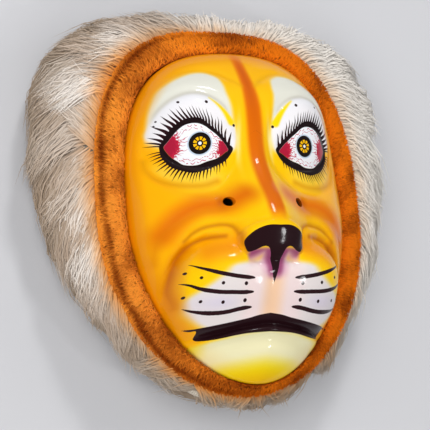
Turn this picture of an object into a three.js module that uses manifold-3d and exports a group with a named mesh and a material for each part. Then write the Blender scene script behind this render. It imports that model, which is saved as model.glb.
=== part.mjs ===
import * as THREE from "three";
import Module from "manifold-3d";

// Big-cat face mask lying on its back. Millimetres, +Z up out of the face,
// +X towards the viewer's right, +Y towards the top of the head.
// Heights of the face are measured from the plane through the top and bottom of its rim.

// Placing
const RIM_PLANE_HEIGHT = 86; // rim plane above the surface the mask lies on
const SHIFT_Y = -6.5; // centres the whole outline on the origin
const FIT_GAP = 0.3; // between pieces that touch

// Face rim outline: two half superellipses that meet at the widest line
const RIM = { half: 93, centre: -5, up: 131, down: 136, nUp: 2.95, nDown: 1.88 };
const RIM_SIDE_DROP = 14.5; // the rim lies this much lower at the sides
const RIM_DROP_POWER = 1.3;
const SKIRT_TAPER_DOWN = 9; // the chin end draws in by this much towards the back
const WALL = 4; // thickness of the moulded shell

// Seam line between the two fleeces, and the outer line of the mane
const SEAM = { half: 116.5, centre: -5, up: 157, down: 143, nUp: 2.8, nDown: 2.0 };
const MANE = { half: 158, centre: 40, up: 131, down: 198, nUp: 3.3, nDown: 1.7 };
const SEAM_DEPTH = 24; // seam line below the rim plane
const MANE_DRAW_IN = 24; // the mane draws in by this much towards its back edge
const MANE_LEAST = 5; // least thickness of the mane at its back edge
const MANE_BEYOND_SEAM = 8; // least reach of the mane past the seam line
const MANE_WIDEST = { sides: 53, crown: 37, chin: 27 }; // depth of its widest line
const CROWN_POWER = 6; // how quickly the widest line climbs to the crown
const CHIN_POWER = 4; // and to the chin

// Crown of the face: height along the middle as [y, z]
const CROWN = [[-141, 35], [-60, 33], [-4, 34], [28, 28.5], [60, 35], [78, 38.5], [126, 30]];
const DOME_POWER_IN = 3;
const DOME_POWER_OUT = 0.77;

// Nose ridge: height over the crown, and its half-width at the forehead and at the nose
const RIDGE = [[-62, 6], [-38, 20], [-22, 25], [-2, 18], [11, 12], [37, 5.5], [61, 0], [104, 0]];
const RIDGE_WIDTH_HIGH = 11;
const RIDGE_WIDTH_GAIN = 8;
const RIDGE_WIDENS = { below: 45, over: 70 };
const RIDGE_FOOT = { y: -66, fade: 18 };

// Muzzle: footprint and height along its middle
const MUZZLE = { half: 76, centre: -66, up: 35, down: 48, power: 2.5 };
const MUZZLE_TOP = [[-104, 22], [-80, 35.3], [-68, 41], [-48, 45.5], [-28, 38]];
const MUZZLE_BLEND = 6;
const MUZZLE_SINK = 3; // the muzzle's edge starts this far under the crown of the face
const MUZZLE_STEP = 8; // and drops this far under it below the mouth

// Nose pad: footprint and height along its middle
const NOSE = { half: 28, centre: -36.5, reach: 14, powerX: 2.8, powerY: 2.6, edge: 0.6 };
const NOSE_TOP = [[-52, 46.5], [-38, 54.8], [-27, 59.5], [-22, 60.4]];
const NOSE_SIDE_FALL = 6;
const NOSE_SIDE_POWER = 2.2;
const NOSTRIL = { x: 15, y: -51.5, depth: 4, wide: 6, tall: 3.6 };

// Mouth line, the groove in it and the roll of the lower lip
const MOUTH_MIDDLE = -91;
const MOUTH_CORNER_DROP = 8.5;
const MOUTH_HALF = 58;
const MOUTH_CURVE = 1.3;
const MOUTH_SOFTNESS = 6;
const LIP_GAP = 6.5; // the gap between the lips lies this far below the upper lip's edge
const GROOVE = { depth: 3.2, wide: 2.6, half: 64, fade: 10 };
const GROOVE_SNAP = 2.5; // grid points this near to the gap are drawn onto it
const GROOVE_SNAP_HALF = 64; // out to this distance from the middle
const LIP_ROLL = { rise: 2, below: 4.2, wide: 3.5, half: 60, fade: 12 }; // the lower lip

// Eye socket, brow and lid mound round each eye, and the eyeball in it
const SOCKET = { x: 54, y: 36, wide: 26, tall: 24, depth: 11 };
const BROW = { x: 60, y: 84, wide: 18, tall: 16, rise: 5 };
const EYE_MOUND = { x: 48, y: 46, wide: 32, tall: 38, rise: 3.4, edge: 1.1, soft: 0.75 };
const EYEBALL = { x: 46.3, y: 43.5, wide: 25, tall: 17.5, rise: 5.6, round: 0.75 };
const OPEN_POWER = 8; // sockets and brows die out this sharply at the rim

// Sight holes
const SIGHT_HOLE_DIAMETER = 8;
const SIGHT_HOLE_X = 30.2;
const SIGHT_HOLE_Y = -4.3;

// Locks of the mane: how many round it, and how deep the partings between them are
const LOCKS = 24;
const PARTING = 3.5;

// Fleece band
const BAND_THICKNESS = 6;
const BAND_BULGE = 3;
const BAND_BELOW_RIM = 2;

// Shoulders of the two fleeces: how far across and how far down each corner lies
const BAND_SHOULDERS = [
  { across: 0.66, down: 0.5 },
  { across: 0.3, down: 0.12 },
];
const MANE_SHOULDERS = [
  { across: 0.82, down: 0.55 },
  { across: 0.5, down: 0.12 },
];
const MANE_UNDER = { across: 0.7, up: 0.42 };
const MANE_LIP = { across: 0.2, rise: 3 };

// Mesh fineness
const GRID_ACROSS = 40;
const GRID_ALONG = 56;
const INNER_ACROSS = 20;
const INNER_ALONG = 28;
const RING_STEP = 2; // rings use every second border point of the face grid

// Helper functions
const clamp01 = (t) => Math.min(1, Math.max(0, t));
const ease = (t) => clamp01(t) ** 2 * (3 - 2 * clamp01(t));
const bell = (t) => Math.exp(-0.5 * t * t);
const mix = (a, b, t) => a + (b - a) * t;

const mound = (m, ax, y) => bell((ax - m.x) / m.wide) * bell((y - m.y) / m.tall);

// Smooth curve through [position, value] stations
function along(table, p) {
  const last = table.length - 1;
  const q = Math.min(table[last][0], Math.max(table[0][0], p));
  let i = 0;
  while (i < last - 1 && q > table[i + 1][0]) i += 1;
  const slope = (k) => {
    const a = table[Math.max(0, k - 1)];
    const b = table[Math.min(last, k + 1)];
    return (b[1] - a[1]) / (b[0] - a[0]);
  };
  const step = table[i + 1][0] - table[i][0];
  const t = (q - table[i][0]) / step;
  const rise = table[i + 1][1] - table[i][1];
  const bow = t * (1 - t) * step * (slope(i) * (1 - t) - slope(i + 1) * t);
  return table[i][1] + rise * t * t * (3 - 2 * t) + bow;
}

// Level of a superellipse pair at a point: 1 on the outline
function level(o, x, y) {
  const t = y - o.centre;
  const n = t > 0 ? o.nUp : o.nDown;
  const b = t > 0 ? o.up : o.down;
  return ((Math.abs(x) / o.half) ** n + (Math.abs(t) / b) ** n) ** (1 / n);
}

// Distance from the rim's centre to an outline, along one direction
function reach(o, angle) {
  let near = 0;
  let far = 400;
  for (let i = 0; i < 40; i += 1) {
    const r = (near + far) / 2;
    const inside = level(o, r * Math.cos(angle), RIM.centre + r * Math.sin(angle)) < 1;
    if (inside) near = r;
    else far = r;
  }
  return near;
}

const mouthLine = (x) =>
  MOUTH_MIDDLE - MOUTH_CORNER_DROP * (Math.abs(x) / MOUTH_HALF) ** MOUTH_CURVE;
const rimHeight = (x) => -RIM_SIDE_DROP * (Math.abs(x) / RIM.half) ** RIM_DROP_POWER;

// Height of the outer face over the rim plane
function faceHeight(x, y) {
  const ax = Math.abs(x);
  const r = clamp01(level(RIM, x, y));
  const low = rimHeight(x);
  const dome = low + (along(CROWN, y) - low) * (1 - r ** DOME_POWER_IN) ** DOME_POWER_OUT;
  const widening = ease((RIDGE_WIDENS.below - y) / RIDGE_WIDENS.over);
  const ridgeWidth = RIDGE_WIDTH_HIGH + RIDGE_WIDTH_GAIN * widening;
  const ridgeFoot = ease((y - RIDGE_FOOT.y) / RIDGE_FOOT.fade);
  let z = dome + along(RIDGE, y) * bell(ax / ridgeWidth) * ridgeFoot;

  const across = (ax / MUZZLE.half) ** MUZZLE.power;
  const reachHere = y > MUZZLE.centre ? MUZZLE.up : MUZZLE.down;
  const upright = (Math.abs(y - MUZZLE.centre) / reachHere) ** MUZZLE.power;
  const m = clamp01((across + upright) ** (1 / MUZZLE.power));
  const foot = dome - MUZZLE_SINK;
  const mouth = mouthLine(x);
  let boss = foot + (along(MUZZLE_TOP, y) - foot) * (1 - m ** 3);
  const aboveGap = y - mouth + LIP_GAP;
  boss = mix(dome - MUZZLE_STEP, boss, ease(aboveGap / MOUTH_SOFTNESS + 0.5));
  z = (z + boss + Math.hypot(z - boss, MUZZLE_BLEND)) / 2 - MUZZLE_BLEND / 4;

  const padX = (ax / NOSE.half) ** NOSE.powerX;
  const padY = (Math.abs(y - NOSE.centre) / NOSE.reach) ** NOSE.powerY;
  const pad = along(NOSE_TOP, y) - NOSE_SIDE_FALL * (ax / NOSE.half) ** NOSE_SIDE_POWER;
  z += Math.max(pad - z, 0) * (1 - clamp01(padX + padY)) ** NOSE.edge;
  z -= NOSTRIL.depth * bell((ax - NOSTRIL.x) / NOSTRIL.wide) * bell((y - NOSTRIL.y) / NOSTRIL.tall);

  const roll = bell((aboveGap + LIP_ROLL.below) / LIP_ROLL.wide);
  z += LIP_ROLL.rise * roll * ease((LIP_ROLL.half - ax) / LIP_ROLL.fade);
  z -= GROOVE.depth * bell(aboveGap / GROOVE.wide) * ease((GROOVE.half - ax) / GROOVE.fade);

  const open = Math.sqrt(1 - r ** OPEN_POWER);
  z -= SOCKET.depth * open * mound(SOCKET, ax, y);
  z += BROW.rise * open * mound(BROW, ax, y);
  const e = Math.hypot((ax - EYE_MOUND.x) / EYE_MOUND.wide, (y - EYE_MOUND.y) / EYE_MOUND.tall);
  z += EYE_MOUND.rise * ease((EYE_MOUND.edge - e) / EYE_MOUND.soft);
  const b = Math.hypot((ax - EYEBALL.x) / EYEBALL.wide, (y - EYEBALL.y) / EYEBALL.tall);
  z += EYEBALL.rise * clamp01(1 - b * b) ** EYEBALL.round;
  return z;
}

// Height of the inner face: the outer one moved in by the wall thickness
function innerHeight(x, y) {
  let z = faceHeight(x, y) - WALL;
  for (const part of [0.5, 0.97]) {
    for (let k = 0; k < 12; k += 1) {
      const px = x + WALL * part * Math.cos((k * Math.PI) / 6);
      const py = y + WALL * part * Math.sin((k * Math.PI) / 6);
      z = Math.min(z, faceHeight(px, py) - WALL * Math.sqrt(1 - part * part));
    }
  }
  return z;
}

// A square grid pressed into an outline, as polar points round the rim's centre
function gridPoint(i, j, across, length) {
  const u = (2 * i) / across - 1;
  const v = (2 * j) / length - 1;
  const x = u * Math.sqrt(1 - (v * v) / 2);
  const y = v * Math.sqrt(1 - (u * u) / 2);
  return { angle: Math.atan2(y, x), part: Math.min(1, Math.hypot(x, y)) };
}

// Border of that grid, anticlockwise from its lower left corner
function borderCells(across, length) {
  const cells = [];
  for (let i = 0; i < across; i += 1) cells.push([i, 0]);
  for (let j = 0; j < length; j += 1) cells.push([across, j]);
  for (let i = across; i > 0; i -= 1) cells.push([i, length]);
  for (let j = length; j > 0; j -= 1) cells.push([0, j]);
  return cells;
}

// Outline of the skirt at the back, and an outline drawn in by a distance
const BACK = { ...RIM, down: RIM.down - SKIRT_TAPER_DOWN };
const inset = (o, d) => ({ ...o, half: o.half - d, up: o.up - d, down: o.down - d });

// A point at a radius and direction round the rim's centre
const place = (radius, angle, z) => [
  radius * Math.cos(angle),
  RIM.centre + radius * Math.sin(angle) + SHIFT_Y,
  z + RIM_PLANE_HEIGHT,
];

// A closed block: a face grid on top, a skirt down to a flat end
function block(top, foot, height, across, length, endZ) {
  const points = [];
  const faces = [];
  for (let j = 0; j <= length; j += 1) {
    for (let i = 0; i <= across; i += 1) {
      const g = gridPoint(i, j, across, length);
      const radius = g.part * reach(top, g.angle);
      const x = radius * Math.cos(g.angle);
      let y = RIM.centre + radius * Math.sin(g.angle);
      const off = y - mouthLine(x) + LIP_GAP;
      const inMouth = Math.abs(off) < GROOVE_SNAP && Math.abs(x) < GROOVE_SNAP_HALF;
      if (inMouth && g.part < 0.95) y -= off;
      points.push([x, y + SHIFT_Y, height(x, y) + RIM_PLANE_HEIGHT]);
    }
  }
  const at = (i, j) => j * (across + 1) + i;
  for (let j = 0; j < length; j += 1) {
    for (let i = 0; i < across; i += 1) {
      const [a, b, c, d] = [at(i, j), at(i + 1, j), at(i + 1, j + 1), at(i, j + 1)];
      const rise = (p, q) => Math.abs(points[p][2] - points[q][2]);
      if (rise(b, d) < rise(a, c)) faces.push(a, b, d, b, c, d);
      else faces.push(a, b, c, a, c, d);
    }
  }
  const border = borderCells(across, length);
  const start = points.length;
  for (const [i, j] of border) {
    const { angle } = gridPoint(i, j, across, length);
    points.push(place(reach(foot, angle), angle, endZ));
  }
  const middle = points.length;
  points.push(place(0, 0, endZ));
  for (let k = 0; k < border.length; k += 1) {
    const n = (k + 1) % border.length;
    const [a, b] = [at(...border[k]), at(...border[n])];
    faces.push(start + k, start + n, b, start + k, b, a);
    faces.push(middle, start + n, start + k);
  }
  return { points, faces };
}

// A closed ring: one cross-section of [radius, z] for each direction
function ring(section) {
  const angles = borderCells(GRID_ACROSS, GRID_ALONG)
    .filter((cell, k) => k % RING_STEP === 0)
    .map(([i, j]) => gridPoint(i, j, GRID_ACROSS, GRID_ALONG).angle);
  const loops = angles.map((angle) => section(angle).map(([r, z]) => place(r, angle, z)));
  const count = loops[0].length;
  const faces = [];
  for (let k = 0; k < loops.length; k += 1) {
    const n = (k + 1) % loops.length;
    for (let p = 0; p < count; p += 1) {
      const q = (p + 1) % count;
      const [a, b, c, d] = [k * count + p, n * count + p, n * count + q, k * count + q];
      faces.push(a, b, c, a, c, d);
    }
  }
  return { points: loops.flat(), faces };
}

const wasm = await Module();
wasm.setup();

function solid({ points, faces }) {
  return new wasm.Manifold(
    new wasm.Mesh({
      numProp: 3,
      vertProperties: new Float32Array(points.flat()),
      triVerts: new Uint32Array(faces),
    }),
  );
}

function mesh(name, data, look) {
  const geometry = new THREE.BufferGeometry();
  geometry.setAttribute("position", new THREE.Float32BufferAttribute(data.points.flat(), 3));
  geometry.setIndex(data.faces);
  const made = new THREE.Mesh(geometry, new THREE.MeshStandardMaterial(look));
  made.name = name;
  return made;
}

function fromSolid(body) {
  const m = body.getMesh();
  const points = [];
  for (let k = 0; k < m.vertProperties.length; k += m.numProp) {
    points.push(Array.from(m.vertProperties.slice(k, k + 3)));
  }
  return { points, faces: Array.from(m.triVerts) };
}

// Moulded face shell: outer block less the hollow and the two sight holes
const outer = block(RIM, BACK, faceHeight, GRID_ACROSS, GRID_ALONG, -RIM_PLANE_HEIGHT);
const hollow = block(
  inset(RIM, WALL),
  inset(BACK, WALL),
  innerHeight,
  INNER_ACROSS,
  INNER_ALONG,
  -RIM_PLANE_HEIGHT - 1,
);
let shell = solid(outer).subtract(solid(hollow));
for (const side of [-1, 1]) {
  const tool = wasm.Manifold.cylinder(60, SIGHT_HOLE_DIAMETER / 2, SIGHT_HOLE_DIAMETER / 2, 20);
  const y = SIGHT_HOLE_Y + SHIFT_Y;
  shell = shell.subtract(tool.translate([side * SIGHT_HOLE_X, y, RIM_PLANE_HEIGHT]));
}

// Skirt radius at a height between the rim and the back
function skirt(angle, z) {
  const front = reach(RIM, angle);
  const top = rimHeight(front * Math.cos(angle));
  return mix(front, reach(BACK, angle), (top - z) / (top + RIM_PLANE_HEIGHT));
}

// Short-pile fleece band from the rim of the face out to the seam line
function bandSection(angle) {
  const inner = reach(RIM, angle);
  const outerR = reach(SEAM, angle) - FIT_GAP / 2;
  const top = rimHeight(inner * Math.cos(angle)) - BAND_BELOW_RIM;
  const low = -SEAM_DEPTH;
  const floor = -SEAM_DEPTH - BAND_THICKNESS;
  return [
    [skirt(angle, floor) + FIT_GAP, floor],
    [outerR, floor],
    [outerR, low],
    ...BAND_SHOULDERS.map((s) => [
      mix(inner, outerR, s.across),
      mix(top, low, s.down) + BAND_BULGE,
    ]),
    [inner + FIT_GAP, top],
  ];
}

// Depth of the mane's widest line: shallow at the crown and chin, deep at the sides
function widestDepth(angle) {
  const up = clamp01(Math.sin(angle));
  const down = clamp01(-Math.sin(angle));
  const { sides, crown, chin } = MANE_WIDEST;
  return sides - (sides - crown) * up ** CROWN_POWER - (sides - chin) * down ** CHIN_POWER;
}

// How far the parting beside a lock draws a row of the mane in; each row is set half a lock over
function parting(angle, row) {
  const turn = LOCKS * (angle - Math.PI / 2) + row * Math.PI;
  return PARTING * (0.5 - 0.5 * Math.cos(turn));
}

// Long-pile mane: a thick ring round the skirt, behind the band
function maneSection(angle) {
  const floor = -SEAM_DEPTH - BAND_THICKNESS - FIT_GAP;
  const seam = reach(SEAM, angle) + FIT_GAP / 2;
  const wide = Math.max(reach(MANE, angle), seam + MANE_BEYOND_SEAM);
  const depth = widestDepth(angle);
  const back = -RIM_PLANE_HEIGHT;
  const inner = skirt(angle, back) + FIT_GAP;
  const backR = Math.max(inner + MANE_LEAST, wide - MANE_DRAW_IN);
  const [outside, top] = MANE_SHOULDERS;
  return [
    [inner, back],
    [backR, back],
    [mix(backR, wide, MANE_UNDER.across) - parting(angle, 1), mix(back, -depth, MANE_UNDER.up)],
    [wide - parting(angle, 0), -depth],
    [mix(seam, wide, outside.across), mix(-SEAM_DEPTH, -depth, outside.down) - parting(angle, 1)],
    [mix(seam, wide, top.across), mix(-SEAM_DEPTH, -depth, top.down) - parting(angle, 0)],
    [mix(seam, wide, MANE_LIP.across), -SEAM_DEPTH + MANE_LIP.rise],
    [seam, -SEAM_DEPTH],
    [seam, floor],
    [skirt(angle, floor) + FIT_GAP, floor],
  ];
}

const group = new THREE.Group();
group.add(
  mesh("face_shell", fromSolid(shell), { color: 0xf5a814, roughness: 0.2, metalness: 0 }),
  mesh("short_pile_band", ring(bandSection), { color: 0xb85a1c, roughness: 1, metalness: 0 }),
  mesh("fleece_mane", ring(maneSection), { color: 0xd8ccbc, roughness: 1, metalness: 0 }),
);

export default group;
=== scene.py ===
import math

import bmesh
import bpy
import numpy as np
from mathutils import Matrix, Vector


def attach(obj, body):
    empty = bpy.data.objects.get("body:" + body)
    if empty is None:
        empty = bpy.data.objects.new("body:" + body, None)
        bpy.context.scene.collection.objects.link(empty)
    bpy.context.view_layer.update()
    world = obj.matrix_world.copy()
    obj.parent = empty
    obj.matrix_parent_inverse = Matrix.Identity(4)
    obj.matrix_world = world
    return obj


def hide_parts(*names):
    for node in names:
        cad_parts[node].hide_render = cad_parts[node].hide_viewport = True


# A painted big-cat face mask with a fleece mane, lying on its back.
# Sizes are millimetres of the face: x to the viewer's right, y to the top of the head
# and z out of the face, with z at nought on the plane through the rim's top and bottom.
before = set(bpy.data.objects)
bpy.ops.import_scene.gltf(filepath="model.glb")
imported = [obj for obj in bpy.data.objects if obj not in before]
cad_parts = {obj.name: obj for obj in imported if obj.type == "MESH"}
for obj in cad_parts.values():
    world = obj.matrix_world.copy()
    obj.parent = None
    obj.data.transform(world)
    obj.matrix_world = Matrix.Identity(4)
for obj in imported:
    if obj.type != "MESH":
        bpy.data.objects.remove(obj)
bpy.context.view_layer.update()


# Floor, camera and light. The floor is plain pale paper and the lights are soft boxes.
# The camera looks down on the lying mask from beside its right cheek.
MM = 0.001
RIM_PLANE = 86
SHIFT_Y = -6.5
PAPER = "#CDCDD0"
PAPER_HALF = 6


def in_frame(x, y, z):
    return Vector((x * MM, (y + SHIFT_Y) * MM, (z + RIM_PLANE) * MM))


def shades(colour):
    """The red, green and blue of a hex colour, each in nought to one."""
    return np.array([int(colour[k : k + 2], 16) / 255 for k in (1, 3, 5)])


def linear(colour):
    """Linear red, green, blue and alpha of a hex colour or of rows of shades."""
    values = shades(colour) if isinstance(colour, str) else colour
    values = np.where(values < 0.04045, values / 12.92, ((values + 0.055) / 1.055) ** 2.4)
    return np.concatenate((values, np.ones_like(values[..., :1])), -1)


def finish_named(name):
    material = bpy.data.materials.new(name)
    material.use_nodes = True
    return material, material.node_tree.nodes["Principled BSDF"]


def set_sockets(shader, **values):
    for label, value in values.items():
        shader.inputs[label.replace("_", " ")].default_value = value


# matt paper shows no glare, so only the soft shadow of the mane lies on it
paper, paper_shader = finish_named("matt backdrop paper")
set_sockets(paper_shader, Base_Color=linear(PAPER), Roughness=0.9)
sheet = bmesh.new()
bmesh.ops.create_grid(sheet, x_segments=1, y_segments=1, size=PAPER_HALF)
floor_mesh = bpy.data.meshes.new("floor")
sheet.to_mesh(floor_mesh)
floor_mesh.materials.append(paper)
floor = bpy.data.objects.new("floor", floor_mesh)
bpy.context.scene.collection.objects.link(floor)

AIM = in_frame(-26.3, -7.0, 0)
TO_CAMERA = Vector((-0.4223, -0.2038, 0.8832)).normalized()
DISTANCE = 1482 * MM
CAMERA_ROLL = math.radians(-4.83)
FOCAL_LENGTH = 158.2
lens = bpy.data.cameras.new("camera")
lens.lens = FOCAL_LENGTH
camera = bpy.data.objects.new("camera", lens)
bpy.context.scene.collection.objects.link(camera)
camera_right = Vector((0, 1, 0)).cross(TO_CAMERA).normalized()
camera_up = TO_CAMERA.cross(camera_right)
facing = Matrix((camera_right, camera_up, TO_CAMERA)).transposed()
facing = facing @ Matrix.Rotation(CAMERA_ROLL, 3, "Z")
camera.matrix_world = Matrix.Translation(AIM + TO_CAMERA * DISTANCE) @ facing.to_4x4()
bpy.context.scene.camera = camera

BOXES_AIM = Vector((0, 0, 0.05))
ROOM_LIGHT, ROOM_STRENGTH = "#E6E8EC", 0.2
# name, place in metres, edge in metres, power in watts, and whether gloss mirrors it
SOFT_BOXES = (
    ("above the head", (0.15, 1.5, 1.3), 0.3, 12, True),
    ("right side", (1.65, 0.3, 1.15), 1.0, 7, False),
    ("low right", (0.95, -0.9, 1.4), 0.16, 3.2, True),
    ("big front cloth", (-1.3, 0, 1.9), 2.0, 38, False),
    ("below the chin", (-0.5, -1.7, 1.1), 1.5, 11, False),
)
for name, place, edge, power, mirrored in SOFT_BOXES:
    box = bpy.data.lights.new(name, "AREA")
    box.size = edge
    box.energy = power
    lamp = bpy.data.objects.new(name, box)
    lamp.location = place
    lamp.visible_glossy = mirrored
    lamp.rotation_euler = (BOXES_AIM - Vector(place)).to_track_quat("-Z", "Y").to_euler()
    bpy.context.scene.collection.objects.link(lamp)
world = bpy.data.worlds.new("room")
world.use_nodes = True
set_sockets(world.node_tree.nodes["Background"], Color=linear(ROOM_LIGHT), Strength=ROOM_STRENGTH)
bpy.context.scene.world = world
bpy.context.scene.view_settings.view_transform = "Standard"

# Face shell. One moulded shell about 4 mm thick, open at the back, with a skirt that
# runs down behind the rim. Relief, lids, folds and lips are part of the moulding; two
# sight holes are drilled below the eyes. It is sprayed, brushed and lacquered.
RIM = dict(half=93, centre=-5, up=131, down=136, n_up=2.95, n_down=1.88)
RIM_DROP = 14.5
SKIRT_TAPER = 9
WALL = 4
CELLS = (220, 308)
INSIDE_CELLS = (55, 77)
# (height up the face, distance out of it) along its middle, of the dome, the ridge of the
# nose over it, the muzzle and the nose pad
CROWN = ((-141, 35), (-104, 35), (-90, 34), (-60, 33), (-30, 35), (-4, 35), (12, 32), (28, 28.5),
         (45, 30.5), (60, 35), (75, 38.5), (90, 38), (110, 33), (126, 30))
RIDGE = ((-62, 6), (-50, 15), (-38, 20), (-30, 24), (-20, 25), (-14, 23), (-2, 18), (11, 12),
         (25, 9), (37, 5.5), (50, 2.5), (61, 0), (75, -1.5), (92, -0.5), (104, 0))
MUZZLE = dict(half=76, centre=-66, up=36, down=48, power=2.5)
MUZZLE_TOP = ((-104, 22), (-91, 29), (-80, 35.3), (-68, 41), (-58, 44.5), (-48, 45.5),
              (-38, 43), (-28, 38))
NOSE_TOP = ((-52, 46.5), (-49, 49), (-44, 52), (-38, 54.8), (-32, 57.5), (-27, 59.5), (-22, 60.4))
MOUTH = dict(y=-91, droop=8.5, half=58)
LIP_GAP = 6.5
# places from the gap between the lips: the roll of the lower lip and the dip under it
LIP_SLIT = dict(wide=1.8, depth=3.4)
LIP_ROLL = dict(at=-4.4, wide=2.7, height=3.2)
CHIN_DIP = dict(at=-11, wide=3.5, depth=1)
# half-width and half-height of the nose pad, its middle and how far its sides droop
NOSE = dict(half=28, tall=14, y=-36.5, droop=5)
NOSTRIL = dict(x=15, y=-51.5, wide=6, tall=3.6, depth=4)
# each form of the eye: middle, reach across, reach upwards and how far it stands or sinks
EYE_HOLLOW = dict(x=54, y=36, wide=26, tall=24, depth=11)
BROW_SWELL = dict(x=60, y=84, wide=18, tall=16, height=5)
LID_MOUND = dict(x=48, y=46, wide=32, tall=38, height=3.8, groove=1.5)
EYEBALL = dict(x=46.3, y=43.5, wide=25, tall=17.5, tilt=1.5, height=5.6)
HOLE_DIMPLE = dict(x=34.5, y=-4.3, wide=2.6, tall=3.4, depth=1.5)
# cheek fold, the two folds above the muzzle and the brow arch: middle line, depth, half-width
FOLDS = (
    (((30, -8), (40, -9), (51, -11), (62, -15), (72, -21), (80, -31), (82, -47)), 1.4, 3.6),
    (((23, -45), (25.5, -38), (26.5, -31), (30, -25), (36, -22.5), (43, -22.5), (51, -24),
      (58, -27.5), (64, -33)), 2.3, 2.2),
    (((36, -31.5), (48, -31.5), (56, -34), (63, -39), (68, -46), (71.5, -56), (73, -68),
      (70, -82)), 5.2, 2.6),
    (((6, 92), (13, 98), (20, 102.5), (30, 105.5), (40, 106.5), (50, 104.5), (58, 101),
      (66, 96), (73, 88)), 1.2, 3.2),
)


def ease(t):
    t = np.clip(t, 0, 1)
    return t * t * (3 - 2 * t)


def bell(t):
    return np.exp(-0.5 * t * t)


def swell(form, x, y):
    """One in the middle of a form, fading to nought around it."""
    return bell((x - form["x"]) / form["wide"]) * bell((y - form["y"]) / form["tall"])


def mix(a, b, t):
    return a + (b - a) * t


def along(stations, p):
    """Smooth curve through (position, value) stations."""
    at, value = np.array(stations, float).T
    rise = np.diff(value) / np.diff(at)
    slope = np.concatenate(([rise[0]], (rise[1:] + rise[:-1]) / 2, [rise[-1]]))
    q = np.clip(p, at[0], at[-1])
    i = np.clip(np.searchsorted(at, q) - 1, 0, len(at) - 2)
    step = at[i + 1] - at[i]
    t = (q - at[i]) / step
    bow = t * (1 - t) * step * (slope[i] * (1 - t) - slope[i + 1] * t)
    return mix(value[i], value[i + 1], t * t * (3 - 2 * t)) + bow


def level(o, x, y):
    """One on an outline, nought in its middle; the powers set how square it is."""
    t = y - o["centre"]
    n = np.where(t > 0, o["n_up"], o["n_down"])
    b = np.where(t > 0, o["up"], o["down"])
    return (np.abs(x / o["half"]) ** n + np.abs(t / b) ** n) ** (1 / n)


def reach(o, angle):
    """Distance from the rim's centre to an outline along each direction."""
    near = np.zeros_like(angle)
    far = np.full_like(angle, 400.0)
    for _ in range(40):
        r = (near + far) / 2
        inside = level(o, r * np.cos(angle), RIM["centre"] + r * np.sin(angle)) < 1
        near, far = np.where(inside, r, near), np.where(inside, far, r)
    return near


def beside(line, x, y):
    """Distance to a drawn line, signed by the side, and how far along it the point is."""
    line = np.array(line, float)
    best = np.full(np.shape(x), 1e9)
    side = np.zeros(np.shape(x))
    run = np.zeros(np.shape(x))
    done = 0.0
    for a, b in zip(line[:-1], line[1:]):
        e = b - a
        size = np.hypot(*e)
        t = np.clip(((x - a[0]) * e[0] + (y - a[1]) * e[1]) / size**2, 0, 1)
        gap = np.hypot(x - a[0] - t * e[0], y - a[1] - t * e[1])
        cross = (y - a[1]) * e[0] - (x - a[0]) * e[1]
        nearer = gap < best
        best = np.where(nearer, gap, best)
        side = np.where(nearer, np.where(cross < 0, -gap, gap), side)
        run = np.where(nearer, done + t * size, run)
        done += size
    return side, run / done


def mouth_line(ax):
    return MOUTH["y"] - MOUTH["droop"] * (ax / MOUTH["half"]) ** 1.3


def rim_height(ax):
    return -RIM_DROP * (ax / RIM["half"]) ** 1.3


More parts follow.
